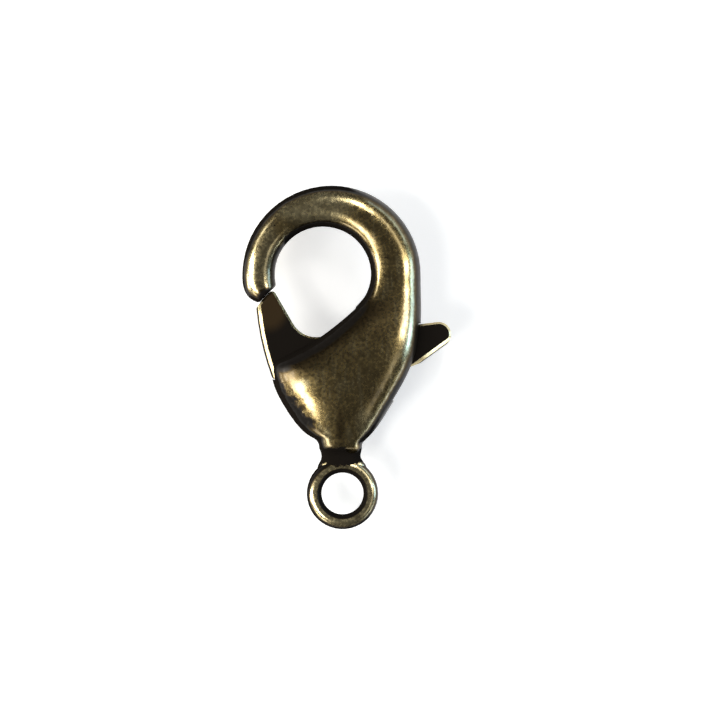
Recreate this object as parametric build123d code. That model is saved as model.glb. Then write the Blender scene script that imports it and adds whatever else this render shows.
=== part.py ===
"""Lobster clasp: a small sprung jewellery hook that closes on a jump ring.

A cast body, made as one piece, is a tapered hook that runs into a pear-shaped
shell and ends in a round eye. A trigger lever lies in a slot through the shell and
turns on a rivet. Its gate closes the hook, and its thumb tab stands out of the
other side. A hairpin spring in the shell holds the gate shut.

Frame, in millimetres: the origin is the centre of the eye, +X points to the thumb
tab, +Y to the hook, and +Z out of the front face. The clasp lies on its back.
"""

import math
import os

from build123d import *

# ---------------------------------------------------------------- driving dimensions
# Eye: a ring, round outside, with a straight land between the chamfers of its hole
EYE_HOLE_R = 0.86
EYE_RIM_WIDTH = 0.60
EYE_THICK = 0.95
EYE_OUTER_ROUND = 0.34
EYE_HOLE_CHAMFER = 0.16

# Hook: its inside is one circle, and its outside is another with the centre moved
# towards the shank, so that the hook grows thicker from the nose to the shank. The skin
# of the whole form is made in runs that meet at the seams, with sections close together
# on both sides of each seam to keep it smooth
BOW_X = -0.80
BOW_Y = 8.95
BOW_INNER_R = 1.97
BOW_OUTER_R = 3.65
BOW_SHIFT = 0.35
NOSE_THICK = 1.30
SHANK_THICK = 2.15
HOOK_FULLNESS = 0.58
HOOK_ANGLES = (204, 196, 192, 186, 177, *range(165, 104, -15), 95, 92, 90, 88, 85)
HOOK_ANGLES += (75, 60, 45, 35, 27, 22, 20, 18, 13, 7, 0)
HOOK_SEAMS = (90, 20)

# Nose: the outside of the hook curls in over the last degrees, with a radius that is a
# share of the hook's outer one, and its end is a face round the pivot, for the gate to
# close on
NOSE_START = 186.0
NOSE_END = HOOK_ANGLES[0]
NOSE_CURL_SHARE = 0.34
NOSE_EDGE_R = 0.15

# Shell, seen from the front: the throat under the hook, the belly from the shoulder
# down the left side, and the flank down the right side. The ways are the directions of
# these curves at the shoulder and at the waist
THROAT = [(0.89, 8.05), (-0.02, 7.14), (-1.52, 6.08), (-2.33, 5.67)]
SHOULDER = (-2.90, 5.27)
BELLY = [(-2.88, 4.70), (-2.38, 3.56), (-1.31, 2.33)]
FLANK = [(3.22, 7.60), (3.00, 5.60), (1.97, 3.58), (1.08, 2.33)]
FLANK_AT_SHOULDER = 0.62
THROAT_END_WAY = (-0.75, -0.66)
BELLY_START_WAY = (-0.3, -1)
WAIST_WAY = (0.45, -1)
THROAT_SHARES = (0.12, 0.25, 0.4, 0.5, 0.53, 0.55, 0.57, 0.6, 0.7, 0.82, 0.92, 1.0)
THROAT_SEAMS = (0.55,)
BELLY_SHARES = (0.08, 0.11, 0.12, 0.13, 0.18, 0.3, 0.45, 0.6, 0.75, 0.84, 0.86, 0.87, 0.88, 0.9, 1.0)
BELLY_SEAMS = (0.12, 0.87)
WAIST_X = -0.08
WAIST_Y = 2.00
WAIST_WIDTH = 1.78
SHELL_THICK = 3.0
WAIST_THICK = 1.90
THROAT_FULLNESS = 0.80
BELLY_FULLNESS = 0.70
SHANK_FULLNESS = 0.62
FLANK_FULLNESS = 0.82

# Neck between the waist and the eye
NECK_X = -0.06
NECK_Y = 1.52
NECK_WIDTH = 1.60
NECK_THICK = 0.85
NECK_ROOT_DEPTH = 0.15
NECK_ROOT_MARGIN = 0.06
WAIST_SHARES = (0.25, 0.5, 0.75, 1.0)
ROOT_SHARES = (0.33, 0.67, 1.0)

# Rivet that the lever turns on
PIVOT_X = -0.20
PIVOT_Y = 5.30
PIN_R = 0.38
PIN_SEAT_CLEARANCE = 0.01
PIN_RUNNING_CLEARANCE = 0.04

# Trigger lever: a flat plate with a gate on the left and a thumb tab on the right
LEVER_THICK = 1.05
LEVER_SIDE_CLEARANCE = 0.075
LEVER_TRAVEL = 28.0
HUB_RADIUS = 1.19
GATE_REACH = 4.03
GATE_GAP = 0.035
GATE_OUTER_STEP = 0.24
GATE_INNER_INSET = 0.18
GATE_INSIDE_SLOPE = 60.0
GATE_BULGE = 0.10
GATE_ROOT = (-2.86, 4.70)
GATE_FILLET_R = 1.10
TAB_X = 3.93
TAB_Y = 6.51
TAB_RADIUS = 0.51
TAB_UNDER_SLOPE = 36.0
KNEE_X = 3.19
KNEE_R = 0.40
LEVER_CORNER_R = 0.14
LEVER_BEVEL = 0.08
GATE_BEVEL = 0.20
TAB_BEVEL = 0.16

# Slot through the shell for the lever, and the pocket in it for the spring
SHELL_WALL = 0.45
POCKET_LEFT_SHARES = (0.1, 0.3, 0.5, 0.7)
POCKET_RIGHT_SHARES = (0.86, 0.76, 0.66, 0.56)
SLOT_STOP_GAP = 0.03
MOUTH_END_GAP = 0.22
MOUTH_END_SLOPE = 70.0

# Spring: a flat strip folded once into a V
STRIP_THICK = 0.15
STRIP_WIDTH = 1.0
STRIP_BEND_R = 0.28
SPRING_SEAT_GAP = 0.03
SPRING_SEAT_SHARES = (0.30, 0.72)
SPRING_TIP_X = 1.85

# ---------------------------------------------------------------- values that follow
Z_AXIS = Vector(0, 0, 1)
EYE_OUTER_R = EYE_HOLE_R + EYE_RIM_WIDTH
BOW = Vector(BOW_X, BOW_Y)
PIVOT = Vector(PIVOT_X, PIVOT_Y)
TAB = Vector(TAB_X, TAB_Y)
NOSE_FACE_R = GATE_REACH + GATE_GAP
SLOT_WIDTH = LEVER_THICK + 2 * LEVER_SIDE_CLEARANCE
FAR = 10.0


def polar(radius, angle):
    """A vector in the XY plane from its length and its angle from +X in degrees."""
    return Vector(math.cos(math.radians(angle)), math.sin(math.radians(angle))) * radius


def heading(vector):
    """The angle of a vector from +X, in degrees."""
    return math.degrees(math.atan2(vector.Y, vector.X))


def along_x(point, slope, x):
    """The point at x on a line through a point with a slope in degrees."""
    return Vector(x, point.Y + (x - point.X) * math.tan(math.radians(slope)))


def crossing(point_a, slope_a, point_b, slope_b):
    """Where two lines meet, each given by a point and a slope in degrees."""
    tan_a = math.tan(math.radians(slope_a))
    tan_b = math.tan(math.radians(slope_b))
    x = (point_b.Y - point_a.Y + tan_a * point_a.X - tan_b * point_b.X) / (tan_a - tan_b)
    return along_x(point_a, slope_a, x)


# ---------------------------------------------------------------- body
def bow_points(angle):
    """The inner and outer points of the hook at an angle from +X."""
    curl_r = NOSE_CURL_SHARE * BOW_OUTER_R
    past = max(0.0, math.radians(angle - NOSE_START) / NOSE_CURL_SHARE)
    curl = curl_r * (1 - math.sqrt(max(0.0, 1 - past**2)))
    inner = BOW + polar(BOW_INNER_R, angle)
    outer = BOW + Vector(BOW_SHIFT, 0) + polar(BOW_OUTER_R - curl, angle)
    return inner, outer


def section(inner, outer, thick, inner_full, outer_full):
    """A closed rounded section between two points, thick along Z, from four smooth quarters.

    The fullness of a side is the handle of its curves as a share of the half width:
    0.55 is an ellipse, and 1 is nearly a rectangle.
    """
    middle = (inner + outer) / 2
    quarters = []
    for up in (Z_AXIS * (thick / 2), Z_AXIS * (-thick / 2)):
        for rim, full in ((inner, inner_full), (outer, outer_full)):
            crown = middle + up
            handles = [rim, rim + up * full, crown + (rim - middle) * full, crown]
            quarters.append(Edge.make_bezier(*handles))
    return Wire(quarters)


def ease(start, end, share):
    """A smooth step from start to end."""
    return start + (end - start) * (1 - math.cos(math.pi * share)) / 2


def shell_thick(y):
    """Thickness of the shell at a height: fullest at the pivot."""
    if y > PIVOT_Y:
        share = min(1.0, (y - PIVOT_Y) / (BOW_Y - PIVOT_Y))
        return ease(SHELL_THICK, SHANK_THICK, share)
    share = min(1.0, (PIVOT_Y - y) / (PIVOT_Y - WAIST_Y))
    return SHELL_THICK + (WAIST_THICK - SHELL_THICK) * share**2


def rail(start, points, end, start_way, end_way):
    """A smooth outline curve through points, with its direction set at both ends."""
    path = [start] + [Vector(*point) for point in points] + [end]
    return Edge.make_spline(path, tangents=[Vector(*start_way), Vector(*end_way)])


def shell_rails():
    """The throat, the belly and the flank, from the hook to the waist."""
    throat_start, flank_start = bow_points(0)
    shoulder = Vector(*SHOULDER)
    waist_left = Vector(WAIST_X - WAIST_WIDTH / 2, WAIST_Y)
    waist_right = Vector(WAIST_X + WAIST_WIDTH / 2, WAIST_Y)
    down = (0, -1)
    waist_way_right = (-WAIST_WAY[0], WAIST_WAY[1])
    throat = rail(throat_start, THROAT, shoulder, down, THROAT_END_WAY)
    belly = rail(shoulder, BELLY, waist_left, BELLY_START_WAY, WAIST_WAY)
    flank = rail(flank_start, FLANK, waist_right, down, waist_way_right)
    return throat, belly, flank


def add_section(runs, wire, seam):
    """Adds a section to the last run. At a seam, the next run starts with the same one."""
    runs[-1].append(wire)
    if seam:
        runs.append([wire])


def hook_to_neck():
    """One smooth form from the nose of the hook, round the bow and down to the neck."""
    runs = [[]]
    for angle in HOOK_ANGLES:
        inner, outer = bow_points(angle)
        share = angle / NOSE_END
        thick = SHANK_THICK + (NOSE_THICK - SHANK_THICK) * share
        inner_full = THROAT_FULLNESS + (HOOK_FULLNESS - THROAT_FULLNESS) * share
        outer_full = SHANK_FULLNESS + (HOOK_FULLNESS - SHANK_FULLNESS) * share
        wire = section(inner, outer, thick, inner_full, outer_full)
        add_section(runs, wire, angle in HOOK_SEAMS)
    throat, belly, flank = shell_rails()
    for share in THROAT_SHARES:
        inner, outer = throat @ share, flank @ (FLANK_AT_SHOULDER * share)
        thick = shell_thick((inner.Y + outer.Y) / 2)
        inner_full = THROAT_FULLNESS + (BELLY_FULLNESS - THROAT_FULLNESS) * share
        outer_full = SHANK_FULLNESS + (FLANK_FULLNESS - SHANK_FULLNESS) * share
        wire = section(inner, outer, thick, inner_full, outer_full)
        add_section(runs, wire, share in THROAT_SEAMS)
    for share in BELLY_SHARES:
        inner = belly @ share
        outer = flank @ (FLANK_AT_SHOULDER + (1 - FLANK_AT_SHOULDER) * share)
        thick = shell_thick((inner.Y + outer.Y) / 2)
        wire = section(inner, outer, thick, BELLY_FULLNESS, FLANK_FULLNESS)
        add_section(runs, wire, share in BELLY_SEAMS)
    for share in WAIST_SHARES:
        y = WAIST_Y + (NECK_Y - WAIST_Y) * share
        half = Vector(ease(WAIST_WIDTH, NECK_WIDTH, share) / 2, 0)
        middle = Vector(ease(WAIST_X, NECK_X, share), y)
        thick = ease(WAIST_THICK, NECK_THICK, share)
        runs[-1].append(section(middle - half, middle + half, thick, BELLY_FULLNESS, FLANK_FULLNESS))
    root_y = EYE_HOLE_R + NECK_ROOT_DEPTH
    root_width = 2 * math.sqrt(EYE_OUTER_R**2 - root_y**2) - NECK_ROOT_MARGIN
    for share in ROOT_SHARES:
        y = NECK_Y + (root_y - NECK_Y) * share
        half = Vector(ease(NECK_WIDTH, root_width, share) / 2, 0)
        middle = Vector(NECK_X * (1 - share), y)
        runs[-1].append(section(middle - half, middle + half, NECK_THICK, BELLY_FULLNESS, FLANK_FULLNESS))
    skin = [Face(runs[0][0]), Face(runs[-1][-1])]
    for run in runs:
        skin += Solid.make_loft(run).faces().filter_by(GeomType.PLANE, reverse=True)
    return Solid(Shell(skin))


def eye():
    """The ring at the end, turned from its section, with its hole open."""
    profile = Plane.XZ * Pos((EYE_HOLE_R + EYE_OUTER_R) / 2, 0) * Rectangle(
        EYE_OUTER_R - EYE_HOLE_R, EYE_THICK
    )
    by_radius = profile.vertices().sort_by(Axis.X)
    profile = chamfer(by_radius[:2], EYE_HOLE_CHAMFER)
    by_radius = profile.vertices().sort_by(Axis.X)
    profile = fillet(by_radius[-2:], EYE_OUTER_ROUND)
    return revolve(profile, Axis.Z)


def nose_cut():
    """What the gate's reach takes off the end of the hook: a slice round the pivot."""
    inner, outer = bow_points(NOSE_END)
    low_y = (inner.Y + SHOULDER[1]) / 2
    right_x = BOW_X - BOW_INNER_R / 2
    window = Pos(right_x - FAR / 2, low_y + FAR / 2) * Box(FAR, FAR, FAR)
    return window & (Pos(PIVOT) * Cylinder(NOSE_FACE_R, FAR))


# ---------------------------------------------------------------- trigger lever
def top_slope():
    """The slope of the lever's top edge, a line over the hub and the tab."""
    return heading(TAB - PIVOT) - math.degrees(math.asin((HUB_RADIUS - TAB_RADIUS) / (TAB - PIVOT).length))


def under_slope(knee):
    """The slope of the lever's lower edge, from under the hub to the knee."""
    return heading(knee - PIVOT) + math.degrees(math.asin(HUB_RADIUS / (knee - PIVOT).length))


def root_slope():
    """The slope of the edge from the gate's root to under the hub."""
    root = Vector(*GATE_ROOT)
    return heading(PIVOT - root) - math.degrees(math.asin(HUB_RADIUS / (PIVOT - root).length))


def nose_corner(side):
    """Where the inside (0) or the outside (1) of the hook meets its end face."""
    low, high = 150.0, NOSE_END
    for _ in range(40):
        middle = (low + high) / 2
        if (bow_points(middle)[side] - PIVOT).length > NOSE_FACE_R:
            low = middle
        else:
            high = middle
    return bow_points(low)[side]


def lever_points():
    """The named corners and tangent points of the lever's outline, seen from the front."""
    top = top_slope()
    root = Vector(*GATE_ROOT)
    tip_out = heading(nose_corner(1) - PIVOT) + math.degrees(GATE_OUTER_STEP / GATE_REACH)
    tip_in = heading(nose_corner(0) - PIVOT) + math.degrees(GATE_INNER_INSET / GATE_REACH)
    outer_tip = PIVOT + polar(GATE_REACH, tip_out)
    inner_tip = PIVOT + polar(GATE_REACH, tip_in)
    tab_under = TAB + polar(TAB_RADIUS, TAB_UNDER_SLOPE - 90)
    knee = along_x(tab_under, TAB_UNDER_SLOPE, KNEE_X)
    return {
        "outer_tip": outer_tip,
        "tip_middle": PIVOT + polar(GATE_REACH, (tip_out + tip_in) / 2),
        "inner_tip": inner_tip,
        "gate_foot": crossing(inner_tip, -GATE_INSIDE_SLOPE, PIVOT + polar(HUB_RADIUS, top + 90), top),
        "tab_top": TAB + polar(TAB_RADIUS, top + 90),
        "tab_end": TAB + polar(TAB_RADIUS, (top + TAB_UNDER_SLOPE) / 2),
        "tab_under": tab_under,
        "knee": knee,
        "hub_right": PIVOT + polar(HUB_RADIUS, under_slope(knee) - 90),
        "hub_low": PIVOT + polar(HUB_RADIUS, (under_slope(knee) + root_slope()) / 2 - 90),
        "hub_left": PIVOT + polar(HUB_RADIUS, root_slope() - 90),
        "root": root,
        "gate_side": (outer_tip + root) / 2 + polar(GATE_BULGE, heading(outer_tip - root) + 90),
    }


def vertex_at(face, point):
    """The corner of a face nearest to a point."""
    return face.vertices().sort_by_distance(Vertex(point.X, point.Y, 0))[0]


def lever_face(at):
    """The lever's outline with its corners rounded, as a face in the XY plane."""
    face = make_face(
        [
            ThreePointArc(at["outer_tip"], at["tip_middle"], at["inner_tip"]),
            Line(at["inner_tip"], at["gate_foot"]),
            Line(at["gate_foot"], at["tab_top"]),
            ThreePointArc(at["tab_top"], at["tab_end"], at["tab_under"]),
            Line(at["tab_under"], at["knee"]),
            Line(at["knee"], at["hub_right"]),
            ThreePointArc(at["hub_right"], at["hub_low"], at["hub_left"]),
            Line(at["hub_left"], at["root"]),
            ThreePointArc(at["root"], at["gate_side"], at["outer_tip"]),
        ]
    )
    rounds = {
        "outer_tip": LEVER_CORNER_R,
        "inner_tip": LEVER_CORNER_R,
        "root": LEVER_CORNER_R,
        "gate_foot": GATE_FILLET_R,
        "knee": KNEE_R,
    }
    for name, radius in rounds.items():
        face = fillet(vertex_at(face, at[name]), radius)
    return face


def gate_disc(at):
    """A disc with bevelled rims, whose rim is the outer side of the gate."""
    chord = at["outer_tip"] - at["root"]
    radius = (chord.length**2 / 4 + GATE_BULGE**2) / (2 * GATE_BULGE)
    centre = at["gate_side"] + polar(radius, heading(chord) - 90)
    disc = Cylinder(radius, LEVER_THICK)
    return Pos(centre) * chamfer(disc.edges().filter_by(GeomType.CIRCLE), GATE_BEVEL)


def tab_block(at):
    """A block with bevelled long edges, whose lower side is the underside of the tab."""
    block = Pos(0, FAR / 2) * Box(3 * FAR, FAR, LEVER_THICK)
    low_edges = block.edges().filter_by(Axis.X).filter_by_position(Axis.Y, -0.01, 0.01)
    return Pos(at["knee"]) * Rot(0, 0, TAB_UNDER_SLOPE) * chamfer(low_edges, TAB_BEVEL)


def trigger_lever():
    """The lever: a plate with bevelled edges, worn wider along the gate and under the tab."""
    at = lever_points()
    plate = extrude(lever_face(at), LEVER_THICK / 2, both=True)
    rims = plate.edges().group_by(Axis.Z)
    plate = chamfer(rims[0] + rims[-1], LEVER_BEVEL)
    plate = plate & gate_disc(at) & tab_block(at)
    return plate - Pos(PIVOT) * Cylinder(PIN_R + PIN_RUNNING_CLEARANCE, LEVER_THICK)


# ---------------------------------------------------------------- slot and pocket
def wall_inside(rail_edge, shares, turn):
    """Points inside a rail of the shell, one wall away from it."""
    points = []
    for share in shares:
        inward = (rail_edge % share).rotate(Axis.Z, turn)
        points.append(rail_edge @ share + inward * SHELL_WALL)
    return points


def slot_cutter():
    """What is cut away inside the shell: a pocket, the tab's window and the gate's mouth."""
    top = top_slope()
    opened = under_slope(lever_points()["knee"]) - LEVER_TRAVEL
    clear_r = HUB_RADIUS + SLOT_STOP_GAP
    stop = (PIVOT + polar(clear_r, top + 90), top)
    window_floor = (PIVOT + polar(clear_r, opened - 90), opened)
    mouth_floor = (PIVOT + polar(clear_r, root_slope() - 90), root_slope())
    swung_top = (PIVOT + polar(clear_r, top - LEVER_TRAVEL + 90), top - LEVER_TRAVEL)
    mouth_end = along_x(*stop, crossing(*stop, *swung_top).X + MOUTH_END_GAP)

    throat, belly, flank = shell_rails()
    left = wall_inside(belly, POCKET_LEFT_SHARES, 90)
    right = wall_inside(flank, POCKET_RIGHT_SHARES, -90)
    pocket = make_face(
        [
            Spline(left),
            Line(left[-1], right[0]),
            Spline(right),
            Line(right[-1], left[0]),
        ]
    )
    window = Polygon(
        along_x(*stop, PIVOT_X),
        along_x(*stop, FAR),
        along_x(*window_floor, FAR),
        along_x(*window_floor, PIVOT_X),
        align=None,
    )
    mouth = Polygon(
        mouth_end + polar(FAR, MOUTH_END_SLOPE),
        (-FAR, FAR),
        along_x(*mouth_floor, -FAR),
        along_x(*mouth_floor, PIVOT_X),
        mouth_end,
        align=None,
    )
    mouth_reach = ((Vector(*SHOULDER) - PIVOT).length + NOSE_FACE_R) / 2
    mouth = mouth & (Pos(PIVOT) * Circle(mouth_reach))
    half = SLOT_WIDTH / 2
    cutter = extrude(pocket, half, both=True) + extrude(window, half, both=True)
    return cutter + extrude(mouth, half, both=True)


def nose_rims(body):
    """The edges of the end face of the hook."""
    middle = (nose_corner(0) + nose_corner(1)) / 2
    ends = body.faces().filter_by(GeomType.CYLINDER)
    return ends.sort_by_distance(Vertex(middle.X, middle.Y, 0))[0].edges()


def hook_body(form):
    """The casting: the form with its nose face, the slot and the rivet holes."""
    body = form - nose_cut()
    body = fillet(nose_rims(body), NOSE_EDGE_R)
    body -= slot_cutter()
    return body - Pos(PIVOT) * Cylinder(PIN_R + PIN_SEAT_CLEARANCE, FAR)


def pivot_pin(form):
    """The rivet: its ends are filed flush with the domed shell."""
    return form & (Pos(PIVOT) * Cylinder(PIN_R, FAR))


# ---------------------------------------------------------------- spring
def return_spring():
    """The strip: one leg lies on the belly wall, and the other ends under the lever."""
    belly = shell_rails()[1]
    inset = SHELL_WALL + SPRING_SEAT_GAP + STRIP_THICK / 2
    seat = []
    for share in SPRING_SEAT_SHARES:
        inward = (belly % share).rotate(Axis.Z, 90)
        seat.append(belly @ share + inward * inset)
    at = lever_points()
    under = under_slope(at["knee"])
    tip = along_x(at["knee"], under, SPRING_TIP_X) + polar(SPRING_SEAT_GAP + STRIP_THICK / 2, under - 90)
    path = FilletPolyline(*seat, tip, radius=STRIP_BEND_R)
    return extrude(trace(path, STRIP_THICK), STRIP_WIDTH / 2, both=True)


def main():
    form = hook_to_neck() + eye()
    parts = {
        "hook_body": hook_body(form),
        "trigger_lever": trigger_lever(),
        "pivot_pin": pivot_pin(form),
        "return_spring": return_spring(),
    }
    os.makedirs("parts", exist_ok=True)
    for name, shape in parts.items():
        export_step(shape, f"parts/{name}.step")


if __name__ == "__main__":
    main()
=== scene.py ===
"""Looks of the lobster clasp: antique brass on a pale studio floor, seen from above."""

import math

import bmesh
import bpy
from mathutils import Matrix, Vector

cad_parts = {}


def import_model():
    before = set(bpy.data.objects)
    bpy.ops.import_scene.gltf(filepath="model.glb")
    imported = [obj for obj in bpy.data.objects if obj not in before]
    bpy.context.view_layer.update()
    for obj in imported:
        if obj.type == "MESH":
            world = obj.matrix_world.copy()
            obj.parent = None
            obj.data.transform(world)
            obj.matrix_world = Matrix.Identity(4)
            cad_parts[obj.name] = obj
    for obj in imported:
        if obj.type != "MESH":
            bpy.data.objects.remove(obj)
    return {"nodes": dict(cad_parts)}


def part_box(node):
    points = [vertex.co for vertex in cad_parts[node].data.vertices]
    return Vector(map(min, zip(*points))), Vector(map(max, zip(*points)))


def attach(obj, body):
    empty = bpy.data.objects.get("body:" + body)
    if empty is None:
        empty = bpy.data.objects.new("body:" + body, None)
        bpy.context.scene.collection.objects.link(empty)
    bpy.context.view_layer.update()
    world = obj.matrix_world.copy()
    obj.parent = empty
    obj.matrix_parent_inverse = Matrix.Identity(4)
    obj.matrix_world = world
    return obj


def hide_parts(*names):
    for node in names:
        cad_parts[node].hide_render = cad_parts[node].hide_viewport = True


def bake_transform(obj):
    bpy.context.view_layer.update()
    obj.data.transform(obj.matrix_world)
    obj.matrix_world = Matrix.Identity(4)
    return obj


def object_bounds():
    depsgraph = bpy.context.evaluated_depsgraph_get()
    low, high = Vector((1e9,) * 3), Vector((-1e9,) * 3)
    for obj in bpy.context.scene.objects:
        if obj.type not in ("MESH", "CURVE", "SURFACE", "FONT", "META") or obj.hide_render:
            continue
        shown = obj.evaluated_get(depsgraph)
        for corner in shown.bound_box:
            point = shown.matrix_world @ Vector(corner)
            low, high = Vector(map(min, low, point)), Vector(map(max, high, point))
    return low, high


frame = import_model()
cad_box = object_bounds()
nodes = frame["nodes"]
MM = 0.001

# ---------------------------------------------------------------- view and light
VIEW_CENTRE = (0.41 * MM, 5.79 * MM)
VIEW_WIDTH = 28.86 * MM
CAMERA_HEIGHT = 0.22
SENSOR_WIDTH = 36.0
CLIP_START = 0.001
LIGHT_DISTANCE = 0.30
WORLD_LEVEL = 0.065
WORLD_COLOUR = (1.0, 0.99, 0.97, 1.0)
FLOOR_SIZE = 4.0
FLOOR_COLOUR = (0.80, 0.80, 0.80, 1.0)
FLOOR_GLOW = 0.55

WARM = (1.0, 0.98, 0.93)
WARM_LOW = (1.0, 0.97, 0.92)
NEUTRAL = (1.0, 0.99, 0.94)
# Name, azimuth from +X, angle from straight up, width and height, all in degrees, then the
# radiance and the colour.
SOFTBOXES = (
    ("left", 181, 63, 22, 12, 14.6, WARM),
    ("left_mid", 192, 47, 24, 15, 9.0, WARM),
    ("left_high", 217, 36, 17, 13, 11.2, WARM),
    ("left_up", 158, 62, 28, 10, 2.8, (1.0, 0.98, 0.90)),
    ("right_side", 332, 40, 26, 10, 0.84, NEUTRAL),
    ("right_up", 42, 42, 28, 10, 1.8, NEUTRAL),
    ("left_low", 190, 85, 22, 10, 9.0, WARM_LOW),
    ("front_low", 228, 70, 30, 14, 3.4, WARM_LOW),
    ("top", 73, 42, 8, 18, 14.0, WARM),
    ("right", 12, 48, 6, 20, 13.4, (1.0, 0.99, 0.96)),
    ("right_low", 4, 78, 24, 20, 7.3, (0.40, 0.66, 1.0)),
    ("right_up_low", 45, 80, 40, 14, 2.25, (0.60, 0.80, 1.0)),
    ("corner_low", 325, 84, 30, 10, 5.0, (0.75, 0.88, 1.0)),
)


def direction(azimuth, off_zenith):
    """A unit vector from its azimuth from +X and its angle from straight up, in degrees."""
    a, z = math.radians(azimuth), math.radians(off_zenith)
    return Vector((math.cos(a) * math.sin(z), math.sin(a) * math.sin(z), math.cos(z)))


def span_of(angle):
    """How wide a light is that fills an angle, in degrees, at the lights' distance."""
    return 2 * LIGHT_DISTANCE * math.tan(math.radians(angle / 2))


def softbox(name, azimuth, off_zenith, width, height, radiance, colour):
    """A rectangular light aimed at the clasp."""
    data = bpy.data.lights.new(name, "AREA")
    data.shape = "RECTANGLE"
    data.size = span_of(width)
    data.size_y = span_of(height)
    data.energy = radiance * math.pi * data.size * data.size_y
    data.color = colour
    lamp = bpy.data.objects.new(name, data)
    away = direction(azimuth, off_zenith)
    lamp.location = Vector((*VIEW_CENTRE, 0.0)) + away * LIGHT_DISTANCE
    lamp.rotation_euler = away.to_track_quat("Z", "Y").to_euler()
    bpy.context.scene.collection.objects.link(lamp)


def camera():
    """A camera straight above the clasp, as in the photo."""
    data = bpy.data.cameras.new("camera")
    data.sensor_width = SENSOR_WIDTH
    data.lens = data.sensor_width * CAMERA_HEIGHT / VIEW_WIDTH
    data.clip_start = CLIP_START
    eye = bpy.data.objects.new("camera", data)
    eye.location = (*VIEW_CENTRE, CAMERA_HEIGHT)
    bpy.context.scene.collection.objects.link(eye)
    bpy.context.scene.camera = eye


def world():
    """A dim, even light from all round."""
    data = bpy.data.worlds.new("studio")
    bpy.context.scene.world = data
    data.use_nodes = True
    background = data.node_tree.nodes["Background"]
    background.inputs["Color"].default_value = WORLD_COLOUR
    background.inputs["Strength"].default_value = WORLD_LEVEL


# ---------------------------------------------------------------- node trees
BLOB_CORE = 0.55


class Nodes:
    """Short calls for building a material's node tree."""

    def __init__(self, name):
        self.material = bpy.data.materials.new(name)
        self.material.use_nodes = True
        self.tree = self.material.node_tree
        self.tree.nodes.clear()
        self.out = self.add("ShaderNodeOutputMaterial")

    def add(self, kind, **values):
        node = self.tree.nodes.new(kind)
        for key, value in values.items():
            setattr(node, key, value)
        return node

    def link(self, source, target):
        self.tree.links.new(source, target)

    def put(self, socket, value):
        if isinstance(value, bpy.types.NodeSocket):
            self.link(value, socket)
        else:
            socket.default_value = value

    def math(self, operation, a, b=0.0):
        node = self.add("ShaderNodeMath", operation=operation)
        self.put(node.inputs[0], a)
        self.put(node.inputs[1], b)
        return node.outputs[0]

    def times(self, a, b):
        return self.math("MULTIPLY", a, b)

    def more(self, a, b):
        """The greater of two values."""
        return self.math("MAXIMUM", a, b)

    def about_zero(self, noise, size):
        """Noise moved to lie about zero, and scaled."""
        return self.times(self.math("SUBTRACT", noise, 0.5), size)

    def vector(self, operation, a, *b):
        """The outputs of a vector operation."""
        node = self.add("ShaderNodeVectorMath", operation=operation)
        for socket, value in zip(node.inputs, (a, *b)):
            self.put(socket, value)
        return node.outputs

    def span(self, value, low, high, out_low=0.0, out_high=1.0):
        """A smooth step of a value from low to high."""
        node = self.add("ShaderNodeMapRange", interpolation_type="SMOOTHSTEP")
        self.put(node.inputs["Value"], value)
        self.put(node.inputs["From Min"], low)
        self.put(node.inputs["From Max"], high)
        self.put(node.inputs["To Min"], out_low)
        self.put(node.inputs["To Max"], out_high)
        return node.outputs["Result"]

    def mix(self, share, a, b):
        """A colour that goes from a to b as the share goes from 0 to 1."""
        node = self.add("ShaderNodeMix", data_type="RGBA")
        self.put(node.inputs[0], share)
        self.put(node.inputs[6], a)
        self.put(node.inputs[7], b)
        return node.outputs[2]

    def place(self, stretch=(1, 1, 1)):
        """The point on the object, in millimetres, stretched along the axes."""
        source = self.add("ShaderNodeTexCoord").outputs["Object"]
        node = self.add("ShaderNodeMapping")
        node.inputs["Scale"].default_value = [s / MM for s in stretch]
        self.link(source, node.inputs["Vector"])
        return node.outputs["Vector"]

    def noise(self, scale, detail, stretch=(1, 1, 1), roughness=0.5):
        """Noise from 0 to 1, with its scale in features to the millimetre."""
        node = self.add("ShaderNodeTexNoise")
        self.link(self.place(stretch), node.inputs["Vector"])
        node.inputs["Scale"].default_value = scale
        node.inputs["Detail"].default_value = detail
        node.inputs["Roughness"].default_value = roughness
        return node.outputs["Fac"]

    def blob(self, centre, radii):
        """1 at a point of the object and 0 beyond the radii, in millimetres."""
        shift = self.vector("SUBTRACT", self.place(), centre)[0]
        length = self.vector("LENGTH", self.vector("DIVIDE", shift, radii)[0])["Value"]
        return self.span(length, BLOB_CORE, 1.0, 1.0, 0.0)

    def off_axis(self):
        """How far the surface lies from the eye's axis, in millimetres."""
        flat = self.vector("MULTIPLY", self.place(), (1.0, 1.0, 0.0))[0]
        return self.vector("LENGTH", flat)["Value"]

    def beyond(self, point, way):
        """How far the object's surface lies beyond a point along a way, in millimetres."""
        shift = self.vector("SUBTRACT", self.place(), point)[0]
        return self.vector("DOT_PRODUCT", shift, way)["Value"]

    def facing(self, way):
        """How far a surface of the object faces a way: 1 straight at it and 0 across it."""
        normal = self.add("ShaderNodeNewGeometry").outputs["Normal"]
        turns = {"vector_type": "NORMAL", "convert_from": "WORLD", "convert_to": "OBJECT"}
        local = self.add("ShaderNodeVectorTransform", **turns)
        self.link(normal, local.inputs[0])
        return self.vector("DOT_PRODUCT", local.outputs[0], way)["Value"]

    def slopes(self):
        """How far a surface faces up or down: 1 on the flats and 0 on the sides."""
        return self.math("ABSOLUTE", self.facing((0.0, 0.0, 1.0)))


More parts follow.
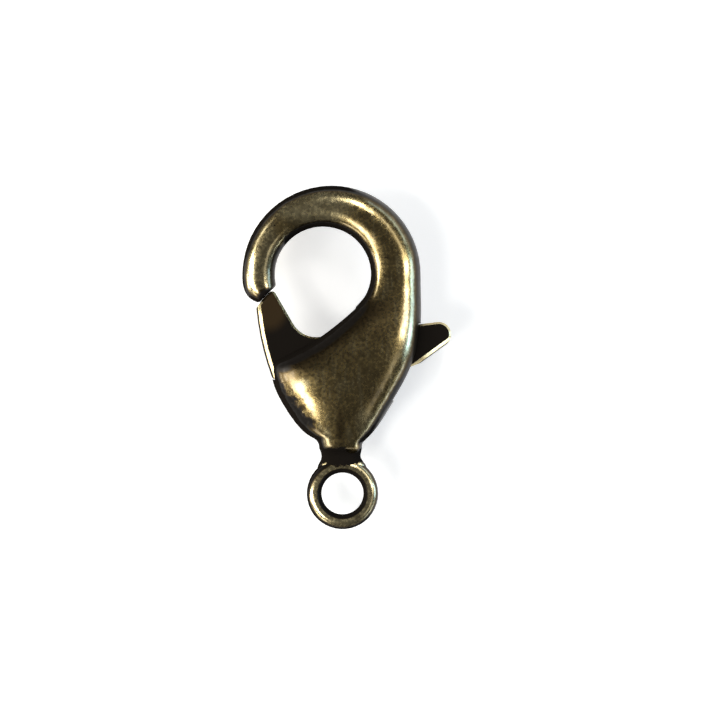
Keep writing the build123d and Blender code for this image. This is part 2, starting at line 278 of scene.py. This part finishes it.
# ---------------------------------------------------------------- brass
BRASS = (0.430, 0.315, 0.125, 1.0)
BRASS_DIM = (0.285, 0.209, 0.082, 1.0)
BRASS_WORN = (0.71, 0.59, 0.32, 1.0)
# bare brass, for the bright spots of wear and painted highlight
BRASS_BARE_HIGHLIGHT = (0.98, 0.84, 0.48, 1.0)
BROWN = (0.085, 0.060, 0.027, 1.0)
# the darkest colour: patina in the hollows, and painted shade on the sides and in spots
PATINA_AND_SHADE = (0.0105, 0.0086, 0.0070, 1.0)
GATE_BROWN = (0.034, 0.022, 0.011, 1.0)
SPRING_STEEL = (0.75, 0.73, 0.70, 1.0)

# The finish by how dark it is, from 0 for bare brass to 1 for full patina, which also serves as
# painted shade
BROWN_BY = (0.0, 0.40)
PATINA_AND_SHADE_BY = (0.30, 0.70)
METAL_GONE_BY = (0.45, 0.85)
COAT_GONE_BY = (0.1, 0.5)
COAT_ROUGHNESS = 0.14
ROUGHNESS = (0.17, 0.29)
DARK_ROUGHNESS = 0.2
BUMP_STRENGTH = 0.5
BUMP_DEPTH = 0.006 * MM
FINE_SHARE = 0.32
CORNER_REACH = 0.9 * MM
CORNER_DARK = 0.9

# The marks on the body, each with its centre and radii in millimetres and its share
# Bright spots of bare brass: partly wear, and partly painted highlight where the lamps should show
# brighter
WEAR_AND_HIGHLIGHT_SPOTS = (
    ((-1.25, 11.75, 0.0), (2.4, 1.0, 2.0), 0.78),
    ((-3.25, 9.8, 0.0), (0.9, 2.0, 2.0), 0.55),
    ((0.95, 2.9, 0.0), (0.7, 1.0, 2.0), 0.50),
    ((0.05, 4.40, 0.0), (0.80, 0.60, 2.0), 0.30),
    ((-1.60, 4.50, 0.0), (0.55, 0.42, 2.0), 1.00),
    ((-3.78, 8.90, 0.0), (0.34, 1.30, 2.0), 0.70),
    ((0.0, 0.0, 0.0), (1.9, 1.9, 2.0), 1.00),
    ((-0.64, 2.30, 0.0), (0.30, 0.70, 2.0), 0.50),
    ((2.70, 6.00, 0.0), (0.55, 1.70, 2.0), 0.55),
)
# Spots painted dark: partly tarnish, and partly painted shade that hides highlights the lamps would
# put there
SHADE_AND_TARNISH_SPOTS = (
    ((-0.10, 3.00, 0.0), (0.42, 1.70, 2.0), 0.36),
    ((-2.85, 9.0, 0.0), (0.40, 1.2, 2.0), 0.30),
    ((-3.05, 7.95, 0.0), (0.62, 0.62, 2.0), 0.90),
    ((1.40, 6.50, 0.0), (1.50, 1.60, 2.0), 0.32),
    ((-2.30, 5.15, 0.0), (0.85, 0.50, 2.0), 0.66),
)
# Spots where the dark is taken away so that a highlight shows there: painted highlight
PAINTED_HIGHLIGHT_SPOTS = (
    ((-3.78, 8.95, 0.0), (0.34, 1.15, 2.0), 0.38),
    ((-2.64, 10.40, 0.0), (0.34, 0.42, 2.0), 0.75),
    ((-0.64, 2.30, 0.0), (0.30, 0.60, 2.0), 0.50),
    ((0.38, 1.90, 0.0), (0.42, 0.34, 2.0), 0.80),
)

# Where the body is dark: on the sides, partly patina and partly painted shade, less so towards the
# sheen
RAGGED = 0.16
SHADED_SIDE_SLOPES = (0.46, 0.92)
SHEEN_WAY = (0.94, 0.34, 0.0)
SHEEN_SLOPES = (0.30, 0.75)
SHEEN_DARK = 0.60
# in stains, and on the rim of the eye
STAIN_STRETCH = (1.0, 0.6, 1.0)
STAIN_LEVELS = (0.46, 0.66)
STAIN_DARK = 0.20
EYE_RIM = (0.96, 1.08)
# in the valley at the neck, and on the left flank above it, both with a patchy edge
PATCHY = 1.2
VALLEY = ((-0.10, 1.58, 0.0), (1.60, 0.62, 1.6))
VALLEY_LEVELS = (0.42, 0.72)
FLANK_EDGE = ((-2.47, 4.48, 0.0), (-0.802, -0.598, 0.0))
FLANK_BAND = (-0.35, 0.15)
FLANK_DARK = 0.75
FLANK_FOOT = ((0.0, 2.3, 0.0), (0.0, 1.0, 0.0))
FLANK_FADE = 0.6
# and in the throat, as painted shade, by its distance from the edge and by the way it faces
THROAT_EDGE = ((0.5, 7.6, 0.0), (0.57, -0.822, 0.0))
THROAT_DEPTH = 2.2
THROAT_DARK = 0.47
THROAT_WAY = (-0.60, 0.80, 0.0)
THROAT_SLOPES = (0.20, 0.60)
THROAT_WALL_SHADE = 0.75
THROAT_TOP = ((0.0, 7.3, 0.0), (0.0, 1.0, 0.0))
THROAT_FADE = 1.2

# The bare brass of the body: clouds of a dimmer brass, brush lines, and mottled bright spots, partly
# wear and partly painted highlight
CLOUD_GRAIN = 0.35
CLOUD_LEVELS = (0.40, 0.60)
BRUSH_STRETCH = (1.0, 0.12, 1.0)
BRUSH_LEVELS = (0.50, 0.72)
BRUSH_SHARE = 0.40
MOTTLE_LEVELS = (0.36, 0.60)
MOTTLE_LEAST = 0.62

# The lever: dark on its flats, by their slope, and on its sides, by their height in millimetres, as
# patina and painted shade
LEVER_FLATS = (0.86, 0.97)
LEVER_SIDES = (0.36, 0.42)
LEVER_GRAIN_LEVELS = (0.40, 0.66)
LEVER_GRAIN_SHARE = 0.6
# The gate's flat is painted brown at its tip and black towards its root: painted shade
GATE_TIP = ((-3.0, 7.6, 0.0), (1.0, 1.2, 2.0))


def grain_of(n):
    """The grain that the brass pieces share."""
    return n.noise(3.4, 4.0, roughness=0.62)


def cavities(n):
    """How dark the finish is in a corner of the object. It is 0 in the open."""
    occlusion = n.add("ShaderNodeAmbientOcclusion", samples=8)
    occlusion.inputs["Distance"].default_value = CORNER_REACH
    return n.span(occlusion.outputs["AO"], 0.40, 0.85, CORNER_DARK, 0.0)


def finish_brass(n, dark, bare, grain, darkest_colour=PATINA_AND_SHADE):
    """Brass of a bare colour, with a dull dark colour where dark is 1, which paints both patina and
    shade, and a fine grain.
    """
    fine = n.noise(9.0, 2.0)
    shader = n.add("ShaderNodeBsdfPrincipled")
    tone = n.mix(n.span(dark, *BROWN_BY), bare, BROWN)
    n.link(n.mix(n.span(dark, *PATINA_AND_SHADE_BY), tone, darkest_colour), shader.inputs["Base Color"])
    metal = n.span(dark, *METAL_GONE_BY, 1.0, 0.0)
    n.link(metal, shader.inputs["Metallic"])
    n.link(n.times(metal, 0.5), shader.inputs["Specular IOR Level"])
    rough = n.span(fine, 0.25, 0.75, *ROUGHNESS)
    n.link(n.math("ADD", rough, n.times(dark, DARK_ROUGHNESS)), shader.inputs["Roughness"])
    n.link(n.span(dark, *COAT_GONE_BY, 1.0, 0.0), shader.inputs["Coat Weight"])
    shader.inputs["Coat Roughness"].default_value = COAT_ROUGHNESS
    bump = n.add("ShaderNodeBump")
    bump.inputs["Strength"].default_value = BUMP_STRENGTH
    bump.inputs["Distance"].default_value = BUMP_DEPTH
    n.link(n.math("ADD", grain, n.times(fine, FINE_SHARE)), bump.inputs["Height"])
    n.link(bump.outputs["Normal"], shader.inputs["Normal"])
    n.link(shader.outputs[0], n.out.inputs["Surface"])
    return n.material


def body_darkness(n, grain):
    """Where the body is dark: patina in its hollows and stains, and painted shade on its sides, in
    its throat and in spots.
    """
    # The sides are painted dark by their slope, as painted shade, with less of it where they face
    # the sheen
    ragged = n.math("ADD", n.slopes(), n.about_zero(grain, RAGGED))
    sheen = n.span(n.facing(SHEEN_WAY), *SHEEN_SLOPES, 1.0, SHEEN_DARK)
    dark = n.times(n.span(ragged, *SHADED_SIDE_SLOPES, 1.0, 0.0), sheen)
    dark = n.more(dark, cavities(n))
    # dark spots, partly painted shade
    for centre, radii, share in SHADE_AND_TARNISH_SPOTS:
        dark = n.more(dark, n.times(n.blob(centre, radii), share))
    stains = n.noise(1.3, 5.0, stretch=STAIN_STRETCH)
    dark = n.more(dark, n.span(stains, *STAIN_LEVELS, 0.0, STAIN_DARK))
    dark = n.more(dark, n.span(n.off_axis(), *EYE_RIM, 1.0, 0.0))
    patchy = n.about_zero(grain, PATCHY)
    valley = n.math("ADD", n.blob(*VALLEY), n.times(patchy, 2.0))
    dark = n.more(dark, n.span(valley, *VALLEY_LEVELS))
    flank = n.span(n.math("ADD", n.beyond(*FLANK_EDGE), patchy), *FLANK_BAND, 0.0, FLANK_DARK)
    dark = n.more(dark, n.times(flank, n.span(n.beyond(*FLANK_FOOT), 0.0, FLANK_FADE)))
    # painted shade in the throat, deepest at its edge and on the wall facing up and left
    throat = n.span(n.beyond(*THROAT_EDGE), 0.0, THROAT_DEPTH, THROAT_DARK, 0.0)
    wall = n.span(n.facing(THROAT_WAY), *THROAT_SLOPES, 0.0, THROAT_WALL_SHADE)
    below = n.span(n.beyond(*THROAT_TOP), 0.0, THROAT_FADE, 1.0, 0.0)
    dark = n.more(dark, n.times(n.more(throat, wall), below))
    # painted highlights: the dark is lifted in spots
    for centre, radii, share in PAINTED_HIGHLIGHT_SPOTS:
        kept = n.math("SUBTRACT", 1.0, n.times(n.blob(centre, radii), share))
        dark = n.times(dark, kept)
    return dark


def body_colour(n, grain):
    """The bare brass of the body, with bright spots of wear and painted highlight, under its dark
    patina and painted shade.
    """
    clouds = n.math("ADD", n.times(grain, CLOUD_GRAIN), n.times(n.noise(0.9, 2.0), 1 - CLOUD_GRAIN))
    bare = n.mix(n.span(clouds, *CLOUD_LEVELS), BRASS, BRASS_DIM)
    brush = n.noise(6.0, 2.0, stretch=BRUSH_STRETCH)
    bare = n.mix(n.span(brush, *BRUSH_LEVELS, 0.0, BRUSH_SHARE), bare, BRASS_WORN)
    mottled = n.span(n.noise(2.2, 4.0, roughness=0.6), *MOTTLE_LEVELS, MOTTLE_LEAST, 1.0)
    # bright spots: wear and painted highlight
    for centre, radii, share in WEAR_AND_HIGHLIGHT_SPOTS:
        wear_and_highlight = n.times(n.times(n.blob(centre, radii), share), mottled)
        bare = n.mix(wear_and_highlight, bare, BRASS_BARE_HIGHLIGHT)
    return bare


def body_brass():
    """Antique brass: bare on the faces, with spots of wear and painted highlight, dark on the sides
    as painted shade, and dark with patina in the valley.
    """
    n = Nodes("body_brass")
    grain = grain_of(n)
    return finish_brass(n, body_darkness(n, grain), body_colour(n, grain), grain)


def lever_brass():
    """The lever's brass: dark on its flats and sides, as patina and painted shade, and bare on its
    bevels, where the lamps show.
    """
    n = Nodes("lever_brass")
    grain = grain_of(n)
    height = n.math("ABSOLUTE", n.beyond((0, 0, 0), (0, 0, 1)))
    # painted shade and patina on the lever's flats and sides
    dark = n.more(n.span(n.slopes(), *LEVER_FLATS), n.span(height, *LEVER_SIDES, 1.0, 0.0))
    dark = n.more(dark, cavities(n))
    bare = n.mix(n.span(grain, *LEVER_GRAIN_LEVELS, 0.0, LEVER_GRAIN_SHARE), BRASS_WORN, BRASS)
    darkest_colour = n.mix(n.blob(*GATE_TIP), PATINA_AND_SHADE, GATE_BROWN)
    return finish_brass(n, dark, bare, grain, darkest_colour)


# ---------------------------------------------------------------- spring and floor finishes
def spring_steel():
    """Drawn steel, with streaks along the strip."""
    n = Nodes("spring_steel")
    shader = n.add("ShaderNodeBsdfPrincipled")
    shader.inputs["Base Color"].default_value = SPRING_STEEL
    shader.inputs["Metallic"].default_value = 1.0
    streaks = n.noise(5.0, 2.0, stretch=(0.1, 1.0, 1.0))
    n.link(n.span(streaks, 0.3, 0.7, 0.24, 0.4), shader.inputs["Roughness"])
    n.link(shader.outputs[0], n.out.inputs["Surface"])
    return n.material


def floor_white():
    """A matt white floor that shows as white to the eye and in reflections."""
    n = Nodes("floor_white")
    diffuse = n.add("ShaderNodeBsdfDiffuse")
    diffuse.inputs["Color"].default_value = FLOOR_COLOUR
    glow = n.add("ShaderNodeEmission")
    path = n.add("ShaderNodeLightPath")
    seen = n.more(path.outputs["Is Camera Ray"], path.outputs["Is Glossy Ray"])
    seen = n.more(seen, path.outputs["Is Transmission Ray"])
    n.link(n.times(seen, FLOOR_GLOW), glow.inputs["Strength"])
    total = n.add("ShaderNodeAddShader")
    n.link(diffuse.outputs[0], total.inputs[0])
    n.link(glow.outputs[0], total.inputs[1])
    n.link(total.outputs[0], n.out.inputs["Surface"])
    return n.material


# ---------------------------------------------------------------- pieces, in millimetres and degrees
SMOOTH_UNDER = 32.0
WELD_DISTANCE = 0.0005 * MM

SPRING_CUTS = 28
CUT_TOLERANCE = 1e-9

SEAT_BURR = 0.03
SEAT_BURR_Z = -1.20
SEAT_BURR_RISE = 0.02
SEAT_TURNS = 64

GATE_BURR = 0.030
GATE_BURR_ROOT = 0.06
GATE_BURR_Z = (-0.36, -0.30)
GATE_END = (132.8, 141.5)
GATE_SIDE_X = -2.5
GATE_TURNS = 12


def dress(node, material):
    """Gives a CAD node its material, and shades it smooth except across its sharp edges."""
    piece = nodes[node]
    piece.data.materials.clear()
    piece.data.materials.append(material)
    for face in piece.data.polygons:
        face.use_smooth = True
    weld = piece.modifiers.new("weld", "WELD")
    weld.merge_threshold = WELD_DISTANCE
    edges = piece.modifiers.new("sharp_edges", "EDGE_SPLIT")
    edges.split_angle = math.radians(SMOOTH_UNDER)


def spring_piece(material):
    """The strip spring, cut finely along its length, in place of the CAD node, which is hidden."""
    mesh = nodes["return_spring"].data.copy()
    mesh.name = "spring_strip"
    low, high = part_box("return_spring")
    shape = bmesh.new()
    shape.from_mesh(mesh)
    bmesh.ops.remove_doubles(shape, verts=shape.verts, dist=WELD_DISTANCE)
    for k in range(1, SPRING_CUTS):
        point = (low.x + (high.x - low.x) * k / SPRING_CUTS, 0, 0)
        everything = shape.verts[:] + shape.edges[:] + shape.faces[:]
        cut = {"dist": CUT_TOLERANCE, "plane_co": point, "plane_no": (1, 0, 0)}
        bmesh.ops.bisect_plane(shape, geom=everything, **cut)
    shape.to_mesh(mesh)
    shape.free()
    mesh.materials.clear()
    mesh.materials.append(material)
    piece = bpy.data.objects.new("spring_strip", mesh)
    bpy.context.scene.collection.objects.link(piece)
    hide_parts("return_spring")
    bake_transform(piece)


def band_round_rivet(name, body, profile, start, end, turns, material):
    """A thin band swept round the rivet's axis from a start to an end angle.

    The profile lists points as their distance from the axis and their height.
    """
    low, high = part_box("pivot_pin")
    centre = (low + high) / 2
    whole = end - start >= 360
    shape = bmesh.new()
    rings = []
    for k in range(turns if whole else turns + 1):
        a = math.radians(start + (end - start) * k / turns)
        way = Vector((math.cos(a), math.sin(a), 0.0))
        points = [centre + way * r * MM + Vector((0, 0, z * MM)) for r, z in profile]
        rings.append([shape.verts.new(point) for point in points])
    for k in range(turns):
        here, there = rings[k], rings[(k + 1) % len(rings)]
        for i in range(len(profile)):
            j = (i + 1) % len(profile)
            shape.faces.new((here[i], here[j], there[j], there[i]))
    if not whole:
        shape.faces.new(rings[0])
        shape.faces.new(rings[-1])
    bmesh.ops.recalc_face_normals(shape, faces=shape.faces)
    mesh = bpy.data.meshes.new(name)
    shape.to_mesh(mesh)
    shape.free()
    mesh.materials.append(material)
    piece = bpy.data.objects.new(name, mesh)
    bpy.context.scene.collection.objects.link(piece)
    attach(piece, body)


def rivet_seat(material):
    """A burr round the rivet in the back cheek, which closes the seam round it."""
    low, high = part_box("pivot_pin")
    r = (high.x - low.x) / 2 / MM
    profile = [
        (r - SEAT_BURR, SEAT_BURR_Z),
        (r, SEAT_BURR_Z + SEAT_BURR_RISE),
        (r + SEAT_BURR, SEAT_BURR_Z),
        (r, SEAT_BURR_Z - SEAT_BURR_RISE),
    ]
    band_round_rivet("rivet_seat", "body", profile, 0, 360, SEAT_TURNS, material)


def gate_burr(material):
    """A burr along the gate's end, which closes the seam between the gate and the nose."""
    low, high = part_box("pivot_pin")
    centre = (low + high) / 2
    points = [v.co for v in nodes["trigger_lever"].data.vertices if v.co.x < GATE_SIDE_X * MM]
    reach = max((point - centre).xy.length for point in points) / MM
    inner, outer = reach - GATE_BURR_ROOT, reach + GATE_BURR
    bottom, top = GATE_BURR_Z
    profile = [(inner, bottom), (outer, bottom), (outer, top), (inner, top)]
    band_round_rivet("gate_burr", "trigger", profile, *GATE_END, GATE_TURNS, material)


def floor():
    """A floor under the clasp, which is left out of the part."""
    bpy.ops.mesh.primitive_plane_add(size=FLOOR_SIZE, location=(*VIEW_CENTRE, cad_box[0][2]))
    plane = bpy.context.object
    plane.name = "floor"
    plane.data.materials.append(floor_white())


bpy.context.scene.view_settings.view_transform = "Standard"
camera()
world()
floor()
for lamp in SOFTBOXES:
    softbox(*lamp)

cast_brass = body_brass()
dress("hook_body", cast_brass)
dress("pivot_pin", cast_brass)
rivet_seat(cast_brass)
worn_brass = lever_brass()
dress("trigger_lever", worn_brass)
gate_burr(worn_brass)
spring_piece(spring_steel())
